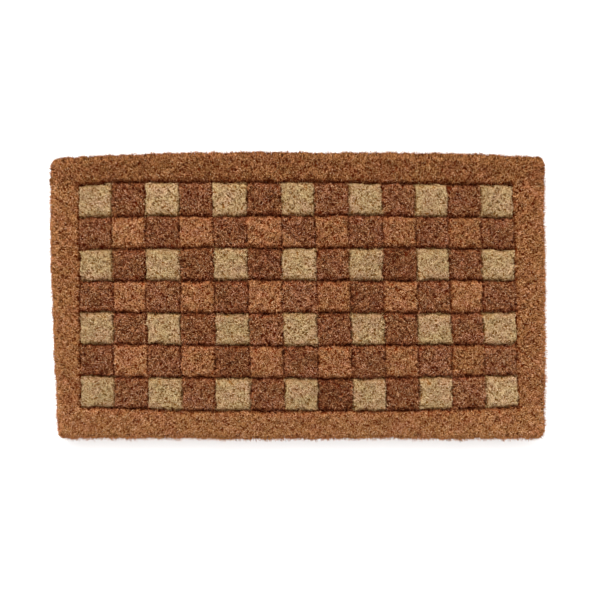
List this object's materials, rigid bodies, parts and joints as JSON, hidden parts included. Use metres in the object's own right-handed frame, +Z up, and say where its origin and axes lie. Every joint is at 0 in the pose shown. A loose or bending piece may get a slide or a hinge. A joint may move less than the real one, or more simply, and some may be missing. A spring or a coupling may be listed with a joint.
{
  "type": "door mat",
  "caption": "Flat rectangular coir door mat with a thick sheared brush pile carved into a check of square blocks inside a plain pile border; wipes shoes on the floor.",
  "frame": {"origin": "middle of the underside, on the floor", "axes": "+X along the length, +Y across the width towards the back edge, +Z up through the pile"},
  "size_m": [0.7, 0.405, 0.035],
  "materials": {
    "beige_pile": "light straw-beige coir tufts, sheared",
    "brown_pile": "dyed brown coir tufts, sheared",
    "tan_pile": "tan orange-brown coir tufts, sheared",
    "border_pile": "natural orange-brown coir tufts, sheared",
    "coir_yarn": "spun coir yarn, hairy and matt",
    "coir_rope": "thick spun coir rope and plait, hairy and matt",
    "twine": "light hemp-coloured sewing twine, matt"
  },
  "bodies": {
    "root": {"weft_yarns": "coir_yarn", "chain_yarns": "coir_yarn", "front_selvedge_rope": "coir_rope", "back_selvedge_rope": "coir_rope", "left_end_rope": "coir_rope", "left_end_braid": "coir_rope", "left_braid_stitches": "twine", "right_end_rope": "coir_rope", "right_end_braid": "coir_rope", "right_braid_stitches": "twine", "row_1_beige_pile": "beige_pile", "row_1_brown_pile": "brown_pile", "row_2_brown_pile": "brown_pile", "row_2_tan_pile": "tan_pile", "row_3_beige_pile": "beige_pile", "row_3_brown_pile": "brown_pile", "row_4_brown_pile": "brown_pile", "row_4_tan_pile": "tan_pile", "row_5_beige_pile": "beige_pile", "row_5_brown_pile": "brown_pile", "row_6_brown_pile": "brown_pile", "row_6_tan_pile": "tan_pile", "row_7_beige_pile": "beige_pile", "row_7_brown_pile": "brown_pile", "front_border_pile": "border_pile", "back_border_pile": "border_pile", "left_border_pile": "border_pile", "right_border_pile": "border_pile"}
  },
  "joints": []
}
